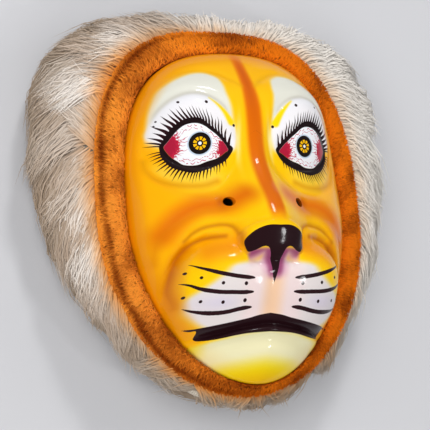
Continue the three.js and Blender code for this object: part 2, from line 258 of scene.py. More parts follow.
def face_height(x, y):
    """How far the moulded face stands out at a place: each form is added in its turn."""
    # dome and ridge of the nose
    ax = np.abs(x)
    r = np.clip(level(RIM, x, y), 0, 1)
    low = rim_height(ax)
    dome = low + (along(CROWN, y) - low) * (1 - r**3) ** 0.77
    width = 11 + 8 * ease((45 - y) / 70) - ease((-25 - y) / 20)
    z = dome + along(RIDGE, y) * bell(ax / width) * ease((y + 66) / 18)

    # muzzle, blended over the dome, down to the gap between the lips
    reach_here = np.where(y > MUZZLE["centre"], MUZZLE["up"], MUZZLE["down"])
    upright = (np.abs(y - MUZZLE["centre"]) / reach_here) ** MUZZLE["power"]
    m = ((ax / MUZZLE["half"]) ** MUZZLE["power"] + upright) ** (1 / MUZZLE["power"])
    m = np.clip(m, 0, 1)
    top = along(MUZZLE_TOP, y) + 1.4 * bell((ax - 30) / 16)
    top = top - bell(ax / 5) * ease((-56 - y) / 10)
    boss = dome - 3 + (top - dome + 3) * (1 - m**3) ** 0.85
    below = y - mouth_line(ax) + LIP_GAP
    boss = mix(dome - 8, boss, ease(below / 3.6 + 0.5))
    z = (z + boss + np.hypot(z - boss, 4)) / 2 - 1

    # nose pad and nostrils
    pad = along(NOSE_TOP, y) - NOSE["droop"] * (ax / 25) ** 2.2
    q = (ax / NOSE["half"]) ** 2.8 + (np.abs(y - NOSE["y"]) / NOSE["tall"]) ** 2.6
    z = z + np.maximum(pad - z, 0) * (1 - np.clip(q, 0, 1)) ** 0.45
    z = z - NOSTRIL["depth"] * swell(NOSTRIL, ax, y)

    # lips and chin
    roll = bell((below - LIP_ROLL["at"]) / LIP_ROLL["wide"])
    dip = bell((below - CHIN_DIP["at"]) / CHIN_DIP["wide"])
    z = z + LIP_ROLL["height"] * roll * ease((57 - ax) / 8)
    z = z - LIP_SLIT["depth"] * bell(below / LIP_SLIT["wide"]) * ease((64 - ax) / 10)
    z = z - CHIN_DIP["depth"] * dip * ease((56 - ax) / 20)

    # eyes, and the dimple beside each sight hole
    open_area = np.sqrt(1 - r**8)
    z = z - EYE_HOLLOW["depth"] * open_area * swell(EYE_HOLLOW, ax, y)
    z = z + BROW_SWELL["height"] * open_area * swell(BROW_SWELL, ax, y)
    e = np.hypot((ax - LID_MOUND["x"]) / LID_MOUND["wide"],
                 (y - LID_MOUND["y"]) / LID_MOUND["tall"])
    z = z + LID_MOUND["height"] * ease((1.1 - e) / 0.7)
    z = z - LID_MOUND["groove"] * bell((e - 1.08) / 0.08)
    u = (ax - EYEBALL["x"]) / EYEBALL["wide"]
    b = np.hypot(u, (y - EYEBALL["y"] - EYEBALL["tilt"] * u) / EYEBALL["tall"])
    z = z + EYEBALL["height"] * np.clip(1 - b * b, 0, 1) ** 0.75
    z = z - 0.8 * ease((1.1 - b) / 0.2) + 1.4 * bell((b - 1.17) / 0.12)
    z = z - HOLE_DIMPLE["depth"] * swell(HOLE_DIMPLE, ax, y)
    # folds, which fade in and out at their ends
    for line, depth, width in FOLDS:
        off, run = beside(line, ax, y)
        z = z - depth * bell(off / width) * ease(run / 0.18) * ease((1 - run) / 0.18)
    return z


def inside_height(x, y):
    """The outer face moved in by the wall: a ball of that radius rolled under it."""
    z = face_height(x, y) - WALL
    for part in (0.5, 0.97):
        for k in range(12):
            px = x + WALL * part * math.cos(k * math.pi / 6)
            py = y + WALL * part * math.sin(k * math.pi / 6)
            z = np.minimum(z, face_height(px, py) - WALL * math.sqrt(1 - part * part))
    return z


def drawn_in(o, gap):
    """An outline made smaller all round."""
    return dict(o, half=o["half"] - gap, up=o["up"] - gap, down=o["down"] - gap)


BACK = dict(RIM, down=RIM["down"] - SKIRT_TAPER)


def pressed_sheet(shell, cells, rim, foot, height):
    """The back edges of a new grid pressed to the outline and height, skirt and all."""
    made = bmesh.ops.create_grid(shell, x_segments=cells[0], y_segments=cells[1], size=1)
    points = made["verts"]
    u, v = np.array([p.co[:2] for p in points]).T
    x, y = u * np.sqrt(1 - v * v / 2), v * np.sqrt(1 - u * u / 2)
    angle = np.arctan2(y, x)
    part = np.hypot(x, y)
    r = part * reach(rim, angle)
    x, y = r * np.cos(angle), RIM["centre"] + r * np.sin(angle)
    for point, place in zip(points, zip(x, y, height(x, y))):
        point.co = in_frame(*place)
    border = list({e for p in points for e in p.link_edges if e.is_boundary})
    skirt = bmesh.ops.extrude_edge_only(shell, edges=border)["geom"]
    hem = [g for g in skirt if isinstance(g, bmesh.types.BMVert)]
    hx, hy = np.array([(p.co.x / MM, p.co.y / MM - SHIFT_Y) for p in hem]).T
    angle = np.arctan2(hy - RIM["centre"], hx)
    r = reach(foot, angle)
    for point, turn, size in zip(hem, angle, r):
        across, up = size * math.cos(turn), RIM["centre"] + size * math.sin(turn)
        point.co = in_frame(across, up, -RIM_PLANE)
    return [g for g in skirt if isinstance(g, bmesh.types.BMEdge) and g.is_boundary]


shell = bmesh.new()
outer_hem = pressed_sheet(shell, CELLS, RIM, BACK, face_height)
rims = drawn_in(RIM, WALL), drawn_in(BACK, WALL)
inner_hem = pressed_sheet(shell, INSIDE_CELLS, *rims, inside_height)
bmesh.ops.triangle_fill(shell, use_beauty=True, edges=outer_hem + inner_hem, normal=(0, 0, -1))
bmesh.ops.recalc_face_normals(shell, faces=shell.faces)


def piece(name, shape, *materials):
    mesh = bpy.data.meshes.new(name)
    shape.to_mesh(mesh)
    shape.free()
    for material in materials:
        mesh.materials.append(material)
    made = bpy.data.objects.new(name, mesh)
    bpy.context.scene.collection.objects.link(made)
    return made


face = piece("painted_face", shell)

# the bit of each sight hole runs straight back, from before the face to the rim's plane
HOLE = dict(x=30.2, y=-4.3, wide=8, run=60, sides=40)
drill = bmesh.new()
for side in (-1, 1):
    bit = bmesh.ops.create_cone(
        drill, segments=HOLE["sides"], cap_ends=True, radius1=HOLE["wide"] / 2 * MM,
        radius2=HOLE["wide"] / 2 * MM, depth=HOLE["run"] * MM,
    )
    middle = in_frame(side * HOLE["x"], HOLE["y"], HOLE["run"] / 2)
    bmesh.ops.translate(drill, verts=bit["verts"], vec=middle)
bit_object = piece("sight_hole_bit", drill)
cut = face.modifiers.new("sight holes", "BOOLEAN")
cut.operation = "DIFFERENCE"
cut.solver = "MANIFOLD"
cut.object = bit_object
bpy.context.view_layer.update()
drilled = bpy.data.meshes.new_from_object(face.evaluated_get(bpy.context.evaluated_depsgraph_get()))
face.modifiers.clear()
face.data = drilled
bpy.data.objects.remove(bit_object)


# Paint of the face: sprayed gloss enamel in yellows, white and orange, with brushed black
# and crimson work, all under clear lacquer. Sprayed edges are soft and brushed edges crisp.
# Some of the spray is painted light: shade along the grooves and creases, and a highlight
# streak beside the ridge of the nose.
# Places are drawn for one side of the face, and the other side mirrors it.
def smooth_line(points, closed=False, steps=6):
    """A drawn line through the points."""
    p = np.array(points, float)
    before = np.roll(p, 1, 0) if closed else np.vstack((p[:1], p[:-1]))
    after = np.roll(p, -1, 0) if closed else np.vstack((p[1:], p[-1:]))
    beyond = np.roll(p, -2, 0) if closed else np.vstack((p[2:], p[-1:], p[-1:]))
    t = (np.arange(steps) / steps).reshape(-1, *[1] * p.ndim)
    curve = p * 2 + (after - before) * t + (2 * before - 5 * p + 4 * after - beyond) * t**2
    curve = (curve + (3 * p - before - 3 * after + beyond) * t**3) / 2
    curve = np.moveaxis(curve, 0, 1).reshape(-1, *p.shape[1:])
    return np.vstack((curve, curve[:1])) if closed else np.vstack((curve[: -steps], p[-1:]))


def within(outline, x, y):
    """Distance inside a closed outline, in millimetres; below nought outside it."""
    gap = np.abs(beside(outline, x, y)[0])
    odd = np.zeros(np.shape(x), bool)
    for (ax, ay), (bx, by) in zip(outline[:-1], outline[1:]):
        crosses = (ay > y) != (by > y)
        at = ax + (y - ay) * (bx - ax) / np.where(by == ay, 1e-9, by - ay)
        odd ^= crosses & (x < at)
    return np.where(odd, gap, -gap)


NOSE_BLACK = ((0, -27.4), (8, -27.2), (14, -28.4), (20, -31.2), (24.4, -36), (24.6, -41),
              (22.5, -45.4), (18, -45), (12, -42.6), (8, -43.2), (5.8, -46.5), (4.2, -52),
              (2.8, -58), (1.5, -64), (0, -68.5))
MOUTH_BLACK = ((0, -90), (10, -91.6), (20, -94), (40, -97.3), (55, -98.6), (62, -98),
               (58, -99.9), (54, -100.4), (53.4, -105.4), (50, -107.6), (40, -107.6),
               (20, -105), (0, -104))
EYE_OPENING = ((22.3, 39.3), (25.7, 43.9), (29.3, 47.1), (32.9, 50.4), (37.1, 53.6),
               (41.4, 57.1), (45.7, 59.4), (50, 60.1), (54.3, 59.6), (57.9, 58.2),
               (61.4, 55.4), (65, 51.1), (67.9, 47.1), (70, 44), (67.9, 39.3), (65, 35.4),
               (61.4, 32.5), (57.9, 29.6), (54.3, 28.4), (50, 28), (45.7, 28.4), (40, 30.4),
               (33.6, 32.1), (28.6, 34.6), (24.6, 37.5))
EYE_LINER = ((18.6, 40.4), (22, 44.2), (26.5, 49), (31, 53), (36, 57), (41, 61), (45.5, 63.4),
             (50, 64.2), (55, 63.8), (59.5, 62.2), (64, 59), (68, 54), (71, 48.5), (73, 45.5),
             (72.8, 41.2), (72.2, 36.9), (69.2, 31.6), (65.4, 27.4), (58.5, 23.9), (50, 21.8),
             (40, 24), (32.6, 26.8), (25.3, 30.6), (20.8, 35.6))
WHISKERS = (
    ((64, -52), (58, -55.5), (50, -59), (42, -61.5), (34, -63.3), (26, -64.5), (17, -65.2)),
    ((69, -65), (64, -67.5), (58, -71), (50, -73.5), (42, -74.8), (34, -75.2), (26, -75.5),
     (17, -75.2)),
    ((66, -83.5), (60, -86.5), (52, -88.6), (44, -89.3), (36, -88.8), (28, -87.3),
     (22, -86.4), (17, -86)),
)
WHISKER_HALF = 1.5
# upper and lower lashes of an eye: roots and tips from the inner to the outer corner
UPPER_ROOTS = ((20.5, 41.5), (26, 47.5), (31, 52), (36, 56), (41, 60), (45.5, 62.2), (50, 63.2),
               (55, 62.8), (59.5, 61.2), (64, 58), (68, 53), (71, 47.5), (72.6, 44.5))
UPPER_TIPS = ((18.5, 53), (27, 61.5), (33, 67), (39, 70.8), (45.5, 73.4), (50.5, 75), (56, 75.6),
              (62, 74.6), (67.5, 72), (73.5, 67.5), (79, 60), (83, 52.5), (86, 46))
LOWER_ROOTS = ((24, 33.4), (29, 30.8), (34, 28.6), (40, 26.4), (46, 24.6), (50, 23.9),
               (55, 25), (60, 27), (64.5, 29.4), (68, 33), (71, 37.4), (72, 41))
LOWER_TIPS = ((24.5, 25), (30.5, 20.6), (36.5, 17.4), (43, 15), (50, 13), (55.5, 12.8),
              (61.5, 14.4), (67.5, 17.6), (73, 22.4), (77.6, 28.4), (81, 35), (83, 41))
BROW_WHITE = ((80.7, 54), (80, 61), (78.6, 72), (75.7, 81), (70.7, 90), (60, 97.5), (50, 102),
              (42, 104.5), (34, 105), (28, 103), (23, 99), (21, 92), (20.5, 85),
              (18.2, 74), (17.2, 66), (16.4, 56), (17, 46), (20, 40), (30, 42), (50, 46), (70, 46))


def crossing(roots, tips, x, y):
    """Place among a fan of lashes, from nought to one across it, and how far up a lash."""
    roots, tips = smooth_line(roots), smooth_line(tips)
    across = np.empty((len(roots), len(x)))
    rise = np.empty_like(across)
    for k, (a, b) in enumerate(zip(roots, tips)):
        e = (b - a) / np.hypot(*(b - a))
        across[k] = (x - a[0]) * e[1] - (y - a[1]) * e[0]
        rise[k] = ((x - a[0]) * e[0] + (y - a[1]) * e[1]) / np.hypot(*(b - a))
    k = np.clip(np.argmin(np.abs(across), 0), 1, len(roots) - 2)
    own = np.arange(len(x))
    before, here, after = across[k - 1, own], across[k, own], across[k + 1, own]
    slope = (after - before) / 2
    slope = np.where(np.abs(slope) < 1e-4, -1e-4, slope)
    k = k - here / slope
    nearest = np.clip(k.round().astype(int), 0, len(roots) - 1)
    return np.column_stack((k / (len(roots) - 1), rise[nearest, own], np.zeros(len(x))))


mesh = face.data
count = len(mesh.vertices)
co = np.empty(count * 3)
mesh.vertices.foreach_get("co", co)
px, py = (co.reshape(-1, 3)[:, :2] / MM).T
py = py - SHIFT_Y
ax = np.abs(px)
rim_level = level(RIM, px, py)

sprayed_and_painted_light = np.empty((count, 3))
sprayed_and_painted_light[:] = shades("#FFC002")


def spray(colour, amount):
    amount = np.clip(amount, 0, 1)[:, None]
    sprayed_and_painted_light[:] = sprayed_and_painted_light + (shades(colour) - sprayed_and_painted_light) * amount


def soft(distance, edge):
    """Full inside by half the edge, none outside by half of it."""
    return ease(distance / edge + 0.5)


def stroke(line, width, edge):
    """A sprayed line of a half-width, with a soft edge."""
    return soft(width - np.abs(beside(smooth_line(line), ax, py)[0]), edge)


# ground: yellow, warmer down the cheeks and over the forehead, lighter on the bridge
spray("#FFAE00", 0.8 * ease((ax - 42) / 36))
spray("#F6A800", 0.5 * ease((py - 84) / 34))
spray("#FFCA00", 0.6 * bell(np.hypot((ax - 8) / 18, (py - 8) / 40)))
# muzzle: yellow above, white below a slanting line, with lilac, pink and peach shading
lower = py - along(((0, -50), (18, -52), (45, -57), (60, -62), (76, -70)), ax)
muzzle = np.hypot(ax / 72, (py + 68) / 42)
spray("#FFD000", 0.85 * soft(0.96 - muzzle, 0.3))
spray("#F08C04", 0.8 * bell((lower - 15) / 8) * ease((ax - 20) / 8) * ease((66 - ax) / 16))
white_to = along(((-100, 74), (-92, 72), (-84, 71), (-78, 66), (-72, 57), (-66, 48), (-60, 40),
                  (-54, 36)), py)
white = soft(-lower, 6) * ease((white_to + 6 - ax) / 12) * soft(1.02 - muzzle, 0.12)
spray("#E3DBDF", 0.97 * white)
spray("#D2C8E2", 0.5 * bell(np.hypot((ax - 44) / 11, (py + 82) / 4)))
spray("#F0D8D6", 0.8 * soft(-lower - 4, 12) * ease((32 - ax) / 14))
spray("#F4C69C", 0.85 * soft(-lower - 8, 12) * ease((14 - ax) / 13))
# chin: cream, ringed with yellow
chin = -(py - mouth_line(ax)) - 12
spray("#F2D400", 0.95 * soft(chin, 4))
spray("#EFE8C0", 0.97 * soft(chin, 4) * ease((60 - ax) / 18) * ease((30 - chin) / 16))
spray("#EAB600", 0.8 * ease((chin - 26) / 12))
# brow and lids: white, with a yellow flash at the inner end, a grey line of painted shade along the
# top edge of the lid mound, and a cream streak of painted highlight on the slope of the nose's
# ridge
brow = within(smooth_line(BROW_WHITE, True), ax, py)
spray("#E4E3D6", soft(brow, 4.5))
mound = 1.02 - np.hypot((ax - 48) / 33, (py - 46) / 38)
spray("#EEEFF4", 0.95 * soft(mound, 0.08) * soft(brow + 2, 6))
# painted shade: a grey line along the top edge of the lid mound
spray("#B9B4A4", 0.5 * bell((mound + 0.01) / 0.035) * soft(brow - 3, 5) * ease((py - 52) / 14))
spray("#F5DC70", 0.45 * soft(mound, 0.2) * ease((38 - py) / 14) * ease((ax - 22) / 16))
spray("#F4ECEC", 0.45 * bell((mound - 0.35) / 0.2) * soft(py - 44, 14))
LID_FLASH = ((36, 80.5), (32, 77), (27.5, 72.5), (23.5, 67.5), (19.5, 61))
flash, run = beside(smooth_line(LID_FLASH), ax, py)
spray("#FFD800", soft(0.3 + 2.6 * run - np.abs(flash), 2.2))
# painted highlight: a cream streak down the slope of the nose's ridge beside the eye
spray("#F3EBC4", 0.7 * soft(1.6 - np.abs(ax - 13.6 + (py - 48) * 0.06), 3) * bell((py - 46) / 13))
# one orange stripe down the forehead and nose
stripe = mix(6.6, 4.4, ease((py - 70) / 45))
spray("#DC6600", 0.95 * soft(stripe - ax, 5) * ease((py + 27) / 16))
spray("#C04C00", 0.5 * soft(stripe - 3.2 - ax, 5) * ease((py - 30) / 80))
# rust spray across the sight hole, a darker dab in the dimple beside it and orange round the rim;
# the orange and brown lines along the folds, the brow arch and the crease under the eye are the
# mask's own spray, deepened with painted shade in the grooves
HOLE_BAND = ((18, 1), (22, -1), (33, -6), (50, -6), (65, -13), (77, -26))
UNDER_EYE_CREASE_SHADE = ((83, 35), (82, 28), (78, 21), (72, 16.5), (64, 13), (54, 11), (44, 11), (34, 14))
spray("#DC6200", 0.85 * stroke(HOLE_BAND, 7, 17))
# painted shade: darker lines in the grooves of the folds, the brow arch and the crease under the
# lid mound, over the mask's own orange spray
spray("#B46400", 0.8 * stroke(FOLDS[1][0], 0.9, 4.5))
spray("#DA7E00", 0.85 * stroke(FOLDS[2][0][3:], 4.2, 11))
spray("#B65A00", 0.8 * stroke(FOLDS[2][0], 1.1, 5))
spray("#B85600", 0.8 * swell(dict(HOLE_DIMPLE, x=35), ax, py))
spray("#E08000", 0.7 * stroke(FOLDS[0][0], 1.8, 9))
spray("#E2A200", 0.55 * stroke(FOLDS[3][0], 1.2, 6) * soft(-brow - 1, 4))
spray("#D68E00", 0.75 * stroke(UNDER_EYE_CREASE_SHADE, 2, 7))
spray("#E48A00", 0.85 * ease((rim_level - 0.88) / 0.12) * (1 - 0.85 * ease((-98 - py) / 14)))

# how far above each whisker's middle line a point is
whisker = np.empty((count, 3))
for k, line in enumerate(WHISKERS):
    inward = sorted(line)
    slope = along(inward, ax + 1) - along(inward, ax - 1)
    whisker[:, k] = (py - along(inward, ax)) / np.hypot(1, slope / 2)

black = np.maximum(
    within(np.vstack((smooth_line(NOSE_BLACK), ((-3, -68), (-3, -27.4), (0, -27.4)))), ax, py),
    within(np.vstack((smooth_line(MOUTH_BLACK), ((-3, -104), (-3, -90), (0, -90)))), ax, py),
)
# lilac and plum under the nose, beside its black
under_nose = ease((-42 - py) / 4) * ease((24 - ax) / 5) * ease((py + 68) / 8)
spray("#D9A8BC", 0.9 * soft(7.5 + black, 8) * under_nose)
spray("#96456E", 0.95 * soft(3.6 + black, 5) * under_nose)
opening = within(smooth_line(EYE_OPENING, True), ax, py)
liner = np.minimum(within(smooth_line(EYE_LINER, True), ax, py), -opening)


def keep_on_surface(name, values):
    """Writes one reading for each point of the face, to be read by its paint."""
    kind = {1: "FLOAT", 3: "FLOAT_VECTOR", 4: "FLOAT_COLOR"}[values.size // count]
    field = {1: "value", 3: "vector", 4: "color"}[values.size // count]
    layer = face.data.attributes.new(name, kind, "POINT")
    layer.data.foreach_set(field, values.astype(np.float32).ravel())


keep_on_surface("sprayed colour and painted light", linear(sprayed_and_painted_light))
keep_on_surface("black edge", black)
keep_on_surface("liner edge", liner)
keep_on_surface("eye edge", opening)
keep_on_surface("whisker", whisker)
keep_on_surface("upper lash", crossing(UPPER_ROOTS, UPPER_TIPS, ax, py))
keep_on_surface("lower lash", crossing(LOWER_ROOTS, LOWER_TIPS, ax, py))


def node(tree, kind, sockets=(), output=0, **settings):
    """Adds a node with its settings, fills or joins its sockets and gives one output."""
    made = tree.nodes.new("ShaderNode" + kind)
    for label, value in settings.items():
        setattr(made, label, value)
    named = sockets if isinstance(sockets, dict) else dict(enumerate(sockets))
    for key, value in named.items():
        if isinstance(value, bpy.types.NodeSocket):
            tree.links.new(value, made.inputs[key])
        else:
            made.inputs[key].default_value = value
    return made.outputs[output]


# the three outputs of a node that parts a vector
THREE = slice(3)
# gloss enamel under clear lacquer: deep clean colour, with small sharp glints over it
enamel, enamel_shader = finish_named("lacquered gloss enamel")
set_sockets(enamel_shader, Specular_IOR_Level=0.08, Coat_Weight=0.85, Coat_IOR=1.27,
            Coat_Roughness=0.09)
tree = enamel.node_tree
spot = node(tree, "Mapping", dict(
    Vector=node(tree, "TexCoord", output="Object"),
    Location=(0, -SHIFT_Y, -RIM_PLANE), Scale=(1 / MM,) * 3))
across, upward, _ = node(tree, "SeparateXYZ", (spot,), THREE)
side_x = node(tree, "Math", (across,), operation="ABSOLUTE")
flat = node(tree, "CombineXYZ", (side_x, upward))
# the hand's unevenness: specks of about 2 mm and slow drifts of about 6 mm
ragged = node(tree, "TexNoise", dict(Vector=spot, Scale=0.55, Detail=3))
ragged = node(tree, "Math", (ragged, 0.5), operation="SUBTRACT")
slow = node(tree, "TexNoise", dict(Vector=spot, Scale=0.16, Detail=1))


def brushed(under, colour, *edges, strength=1.0):
    """Lays a colour within every edge: a distance, above nought inside, and its softness."""
    shown = strength
    for distance, softness in edges:
        inside = node(tree, "MapRange", (distance, -softness / 2, softness / 2),
                      interpolation_type="SMOOTHSTEP")
        shown = node(tree, "Math", (shown, inside), operation="MULTIPLY")
    under, colour = (linear(c) if isinstance(c, str) else c for c in (under, colour))
    return node(tree, "Mix", {0: shown, 6: under, 7: colour}, 2, data_type="RGBA")


# lashes: brown strokes that bend and taper, each of its own length. For each fan, how many
# there are, their mean spacing, half-width, and least and greatest share of the full length
LASHES = {"upper lash": (24, 3.2, 1.4, 0.72, 1.05), "lower lash": (25, 2.9, 1.15, 0.7, 1.08)}
LASH_BROWN = "#280C12"
coat = node(tree, "Attribute", output="Color", attribute_name="sprayed colour and painted light")
for name, (number, spacing, half_width, least, most) in LASHES.items():
    fan = node(tree, "Attribute", output="Vector", attribute_name=name)
    place, rise, _ = node(tree, "SeparateXYZ", (fan,), THREE)
    turn = node(tree, "Math", (place, number), operation="MULTIPLY")
    own = node(tree, "Math", (turn,), operation="FLOOR")
    own = node(tree, "TexWhiteNoise", dict(W=own), noise_dimensions="1D")
    length = node(tree, "Math", (own, most - least, least), operation="MULTIPLY_ADD")
    up = node(tree, "Math", (rise, length), operation="DIVIDE")
    bend = node(tree, "Math", (up, 0.0), operation="MAXIMUM")
    bend = node(tree, "Math", (bend, 2.0), operation="POWER")
    part = node(tree, "Math", (turn,), operation="FRACT")
    part = node(tree, "Math", (bend, 0.22, part), operation="MULTIPLY_ADD")
    gap = node(tree, "Math", (part, 0.6), operation="SUBTRACT")
    gap = node(tree, "Math", (gap,), operation="ABSOLUTE")
    gap = node(tree, "Math", (gap, spacing), operation="MULTIPLY")
    left = node(tree, "Math", (1.0, up), operation="SUBTRACT")
    taper = node(tree, "Math", (left, 0.0), operation="MAXIMUM")
    taper = node(tree, "Math", (taper, 1.1), operation="POWER")
    half = node(tree, "Math", (taper, half_width), operation="MULTIPLY")
    within_lash = node(tree, "Math", (half, gap), operation="SUBTRACT")
    past_root = node(tree, "Math", (up, 0.06), operation="ADD")
    to_end = node(tree, "Math", (1.0, place), operation="SUBTRACT")
    coat = brushed(coat, LASH_BROWN, (within_lash, 0.25), (past_root, 0.1), (left, 0.02),
                   (place, 0.02), (to_end, 0.02))

# whiskers: brushed strokes, pointed at the outer end and blunt at the inner one
BRUSH_BROWN = "#2A1217"
offsets = node(tree, "Attribute", output="Vector", attribute_name="whisker")
for line, off in zip(WHISKERS, node(tree, "SeparateXYZ", (offsets,), THREE)):
    tip, heel = line[0][0], line[-1][0]
    thin = node(tree, "MapRange", (side_x, tip, tip - 16))
    thin = node(tree, "Math", (thin, 0.6), operation="POWER")
    blunt = node(tree, "MapRange", (side_x, heel, heel + 6))
    blunt = node(tree, "Math", (blunt, 0.4), operation="POWER")
    half = node(tree, "Math", (thin, blunt), operation="MULTIPLY")
    half = node(tree, "Math", (half, WHISKER_HALF), operation="MULTIPLY")
    gap = node(tree, "Math", (off,), operation="ABSOLUTE")
    gap = node(tree, "Math", (half, gap), operation="SUBTRACT")
    gap = node(tree, "Math", (ragged, 0.4, gap), operation="MULTIPLY_ADD")
    to_tip = node(tree, "Math", (tip, side_x), operation="SUBTRACT")
    to_heel = node(tree, "Math", (side_x, heel), operation="SUBTRACT")
    coat = brushed(coat, BRUSH_BROWN, (gap, 0.3), (to_tip, 0.5), (to_heel, 0.5))

# whisker dots, smaller towards the side, and the dots of the upper lid
WHISKER_DOTS = ((66.2, -58.2), (57.2, -63.2), (42.2, -68.3), (24.2, -69.2), (66.3, -75.7),
                (56.3, -80.3), (40.8, -82), (23.7, -81.2))
LID_DOTS = ((59.9, 77.7, 1.0), (39.2, 76.7, 1.3), (17, 58.5, 1.2), (74.3, 64.9, 0.7),
            (75.7, 61.4, 0.7))
dots = [(x, y, 1.45 - 0.4 * (x - 23) / 43) for x, y in WHISKER_DOTS] + list(LID_DOTS)
for x, y, half in dots:
    away = node(tree, "VectorMath", (flat, (x, y, 0)), "Value", operation="DISTANCE")
    inside = node(tree, "Math", (half, away), operation="SUBTRACT")
    coat = brushed(coat, "#2A1519", (inside, 0.3))
for name, black_paint in (("black edge", "#240E13"), ("liner edge", "#1B0D10")):
    inside = node(tree, "Attribute", output="Fac", attribute_name=name)
    coat = brushed(coat, black_paint, (inside, 0.35))

# eye: white ground, broken crimson veins that follow its edge
EYE_WHITE = "#F1F3F7"
VEIN_CRIMSON = "#C42C54"
eye_edge = node(tree, "Attribute", output="Fac", attribute_name="eye edge")
eyeball = EYE_WHITE
# depth from the edge, half-width, and the pace and start of the waves
for depth, half, pace, start in ((2.5, 0.32, 1.4, 0.0), (4.9, 0.26, 1.1, 2.0)):
    wave = node(tree, "Math", (side_x, pace, start), operation="MULTIPLY_ADD")
    wave = node(tree, "Math", (wave,), operation="SINE")
    line_at = node(tree, "Math", (slow, 2.0, eye_edge), operation="MULTIPLY_ADD")
    line_at = node(tree, "Math", (wave, 0.6, line_at), operation="MULTIPLY_ADD")
    off = node(tree, "Math", (line_at, depth), operation="SUBTRACT")
    off = node(tree, "Math", (off,), operation="ABSOLUTE")
    inside = node(tree, "Math", (half, off), operation="SUBTRACT")
    broken = node(tree, "Math", (slow, 4 + start), operation="MULTIPLY")
    broken = node(tree, "Math", (broken,), operation="FRACT")
    broken = node(tree, "Math", (broken, 0.35), operation="SUBTRACT")
    eyeball = brushed(eyeball, VEIN_CRIMSON, (inside, 0.25), (broken, 0.15), strength=0.95)

# the solid crimson of both corners, with veins that fan out of it
# corner place, side it opens to, reach of the solid crimson, reach of the veins
for x, y, way, solid, far in ((70, 43.5, -1, 10.5, 18), (22.3, 39.6, 1, 10, 19)):
    from_corner = node(tree, "VectorMath", (flat, (x, y, 0)), operation="SUBTRACT")
    away = node(tree, "VectorMath", (from_corner,), "Value", operation="LENGTH")
    aside, above, _ = node(tree, "SeparateXYZ", (from_corner,), THREE)
    aside = node(tree, "Math", (aside, way), operation="MULTIPLY")
    turned = node(tree, "Math", (above, aside), operation="ARCTAN2")
    drift = node(tree, "Math", (slow, 3.0), operation="MULTIPLY")
    wiggle = node(tree, "Math", (away, 1.6, side_x), operation="MULTIPLY_ADD")
    wiggle = node(tree, "Math", (wiggle,), operation="SINE")
    vein = node(tree, "Math", (turned, 5.0, drift), operation="MULTIPLY_ADD")
    vein = node(tree, "Math", (wiggle, 0.2, vein), operation="MULTIPLY_ADD")
    own = node(tree, "Math", (vein,), operation="FLOOR")
    own = node(tree, "TexWhiteNoise", dict(W=own), noise_dimensions="1D")
    spare = far - solid
    tip = node(tree, "Math", (own, spare * 0.6, solid + spare * 0.4), operation="MULTIPLY_ADD")
    off = node(tree, "Math", (vein,), operation="FRACT")
    off = node(tree, "Math", (off, 0.5), operation="SUBTRACT")
    off = node(tree, "Math", (off,), operation="ABSOLUTE")
    width = node(tree, "Math", (away, tip), operation="DIVIDE")
    width = node(tree, "Math", (width, -0.3, 0.33), operation="MULTIPLY_ADD")
    inside = node(tree, "Math", (width, off), operation="SUBTRACT")
    to_tip = node(tree, "Math", (tip, away), operation="SUBTRACT")
    eyeball = brushed(eyeball, "#C42450", (inside, 0.08), (to_tip, 0.6))
    wedge = node(tree, "Math", (ragged, 8.0, solid), operation="MULTIPLY_ADD")
    wedge = node(tree, "Math", (wedge, away), operation="SUBTRACT")
    deep = node(tree, "Math", (wedge, 2.2), operation="SUBTRACT")
    eyeball = brushed(eyeball, "#C0203F", (wedge, 1.0))
    eyeball = brushed(eyeball, "#9C1434", (deep, 2.5), strength=0.6)

# iris: a black disc in a pale blue ring, with nine yellow petals round a white dot
IRIS = (45.6, 44.3, 0)
PETALS = 9.0
from_iris = node(tree, "VectorMath", (flat, IRIS), operation="SUBTRACT")
away = node(tree, "VectorMath", (from_iris,), "Value", operation="LENGTH")
aside, above, _ = node(tree, "SeparateXYZ", (from_iris,), THREE)
petal = node(tree, "Math", (above, aside), operation="ARCTAN2")
petal = node(tree, "Math", (petal, PETALS / (2 * math.pi)), operation="MULTIPLY")
petal = node(tree, "Math", (petal,), operation="FRACT")
petal = node(tree, "Math", (petal, 0.5), operation="SUBTRACT")
petal = node(tree, "Math", (petal,), operation="ABSOLUTE")
petal = node(tree, "Math", (0.34, petal), operation="SUBTRACT")
ring = node(tree, "Math", (away, 3.75), operation="SUBTRACT")
ring = node(tree, "Math", (ring,), operation="ABSOLUTE")
ring = node(tree, "Math", (1.25, ring), operation="SUBTRACT")
pale, disc, dot = (node(tree, "Math", (r, away), operation="SUBTRACT") for r in (9.3, 8.3, 1.25))
eyeball = brushed(eyeball, "#C4D2E2", (pale, 0.8))
eyeball = brushed(eyeball, "#17100F", (disc, 0.3))
eyeball = brushed(eyeball, "#FFC000", (petal, 0.12), (ring, 0.3))
eyeball = brushed(eyeball, "#F6F6F2", (dot, 0.3))
coat = brushed(coat, eyeball, (eye_edge, 0.35))
tree.links.new(coat, enamel_shader.inputs["Base Color"])

# the lacquer has the slow ripple of brushed-on coats, 8 mm from crest to crest
RIPPLE = dict(every=8, depth=0.08)
ripple = node(tree, "TexNoise", dict(Vector=spot, Scale=1 / RIPPLE["every"], Detail=2))
roughness = node(tree, "MapRange", (ripple, 0.3, 0.7, 0.44, 0.56))
tree.links.new(roughness, enamel_shader.inputs["Roughness"])
rippled = node(tree, "Bump", dict(Height=ripple, Strength=1.0, Distance=RIPPLE["depth"] * MM))
for label in ("Normal", "Coat Normal"):
    tree.links.new(rippled, enamel_shader.inputs[label])

